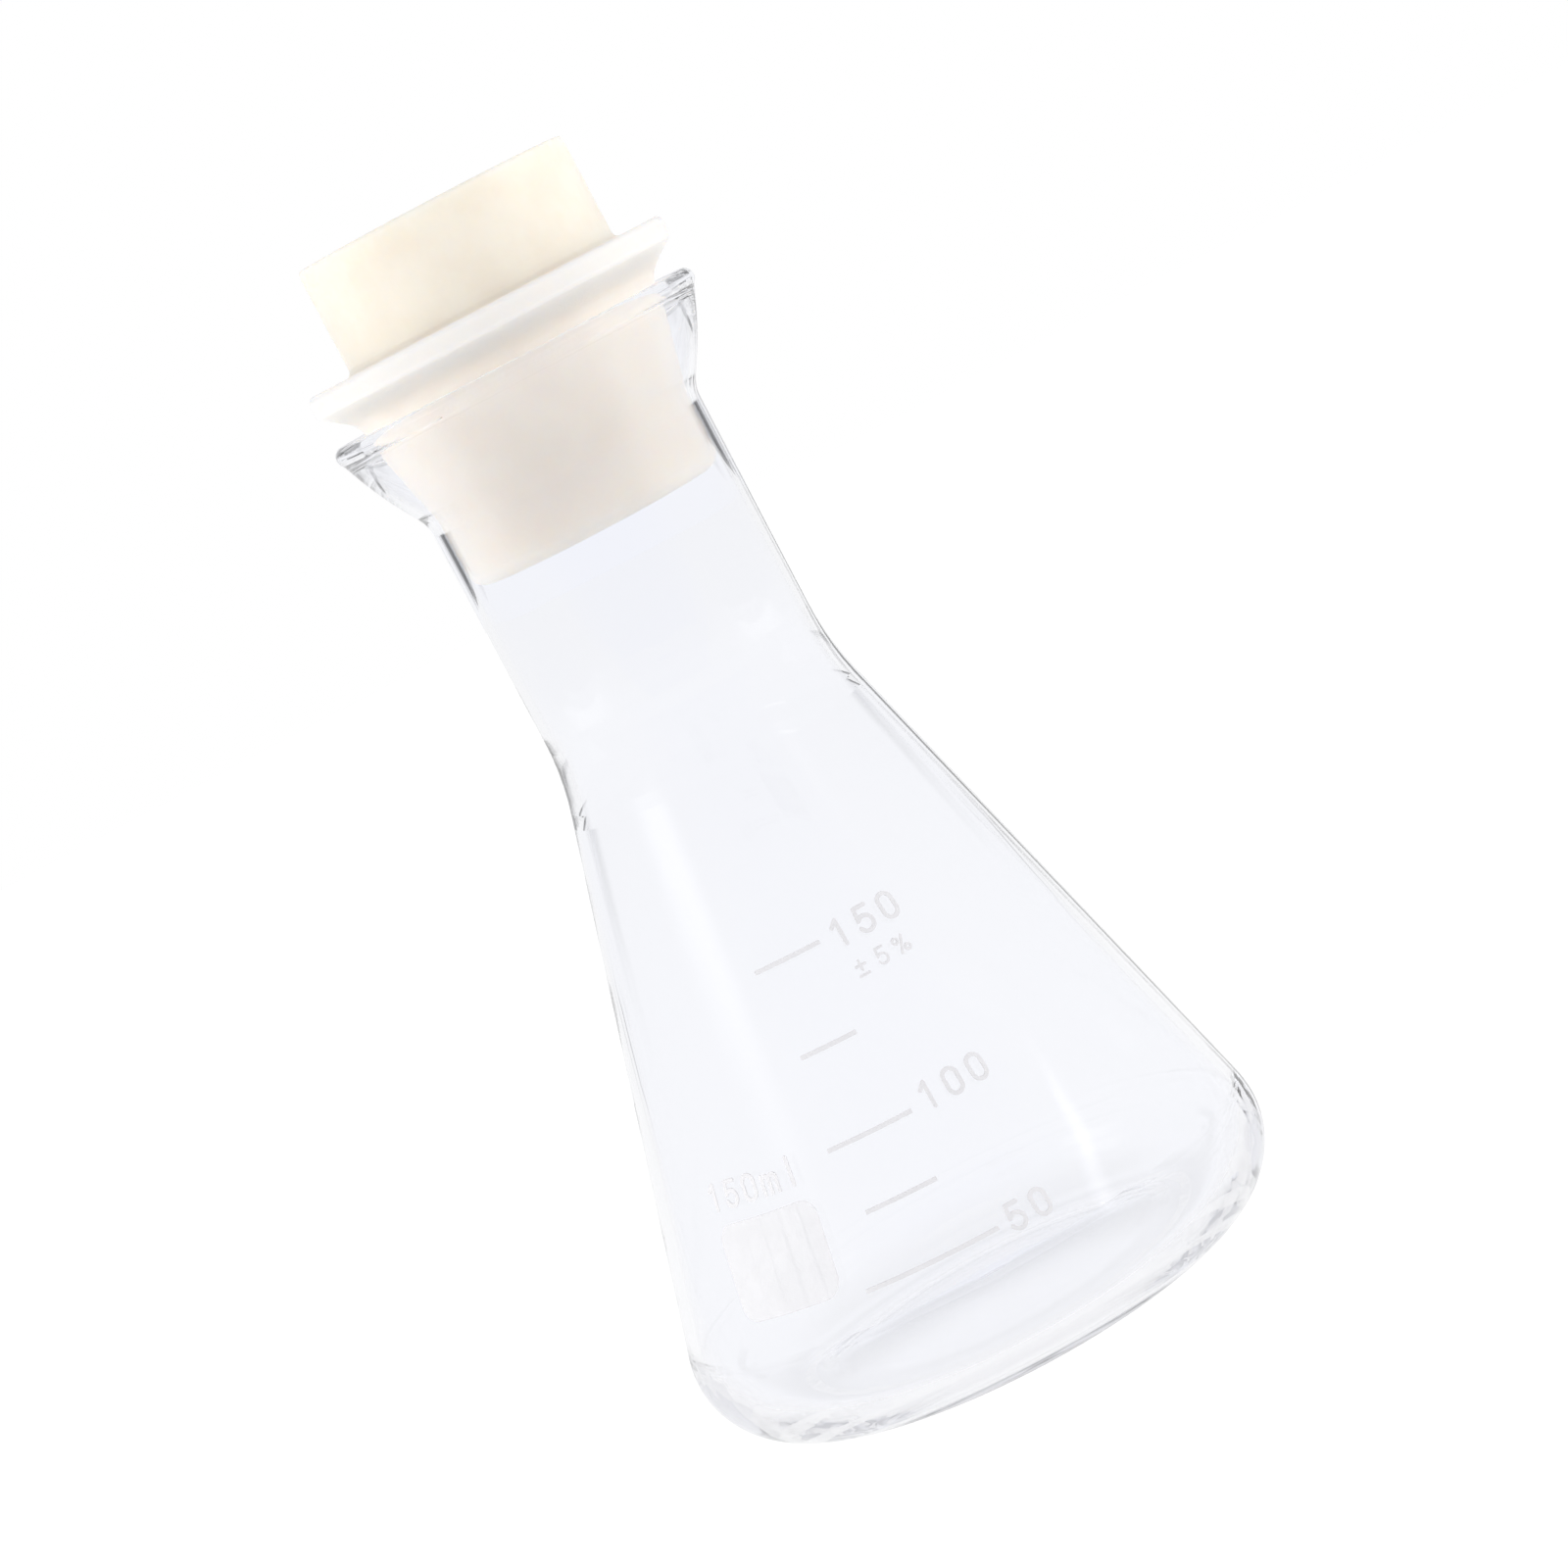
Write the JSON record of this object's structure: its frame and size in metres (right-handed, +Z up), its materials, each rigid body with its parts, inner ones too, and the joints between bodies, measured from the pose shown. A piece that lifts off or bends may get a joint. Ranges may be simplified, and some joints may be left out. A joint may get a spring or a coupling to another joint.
{
  "type": "erlenmeyer flask",
  "caption": "Conical laboratory flask of borosilicate glass with a printed volume scale, closed with a tapered silicone stopper.",
  "frame": {"origin": "centre of the ring the flask stands on", "axes": "+Z up along the flask's axis, the printed scale faces -Y"},
  "size_m": [0.0756, 0.0756, 0.1504],
  "materials": {
    "borosilicate_glass": "clear fire-polished",
    "silicone": "satin translucent ivory",
    "enamel": "fired white-grey enamel",
    "matt_enamel": "matt writing enamel"
  },
  "bodies": {
    "flask": {"flask_body": "borosilicate_glass", "graduation_lines": "enamel", "graduation_numerals": "enamel", "tolerance_mark": "enamel", "capacity_mark": "enamel", "writing_patch": "matt_enamel"},
    "stopper": {"stopper": "silicone"}
  },
  "joints": [
    {"name": "stopper_lift", "type": "slide", "parent": "flask", "child": "stopper", "axis": [0, 0, 1], "range_m": [0, 0.05]}
  ]
}
